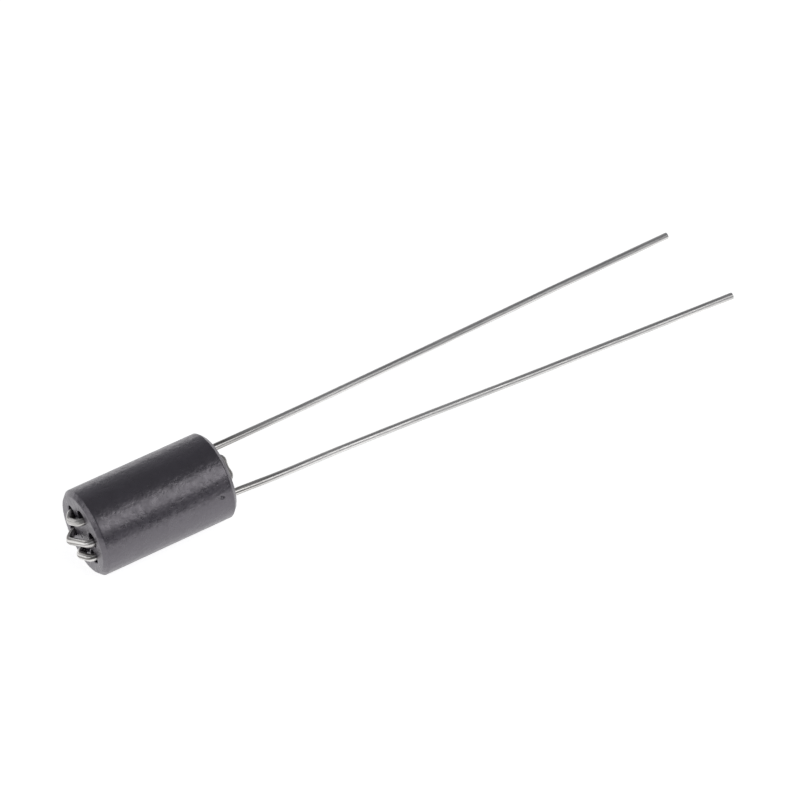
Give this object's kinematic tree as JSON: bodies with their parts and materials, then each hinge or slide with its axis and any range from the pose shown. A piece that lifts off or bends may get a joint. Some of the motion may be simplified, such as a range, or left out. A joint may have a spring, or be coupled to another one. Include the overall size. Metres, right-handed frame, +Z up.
{
  "type": "wound ferrite bead",
  "caption": "Cylindrical ferrite bead threaded by a bare tinned wire in loops, with both straight leads out of the same end, for choking high-frequency noise.",
  "frame": {"origin": "centre of the bead, on its axis, half way between its two end faces", "axes": "+X along the bead's axis, out of the back face and towards the lead tips; +Z up, as it lies on a flat surface; +Y to the side of the first lead"},
  "size_m": [0.0504, 0.008, 0.006],
  "materials": {
    "ferrite": "satin, fine sintered grain",
    "tinned_wire": "tinned, satin"
  },
  "bodies": {
    "root": {"ferrite_core": "ferrite", "winding_wire": "tinned_wire"}
  },
  "joints": []
}
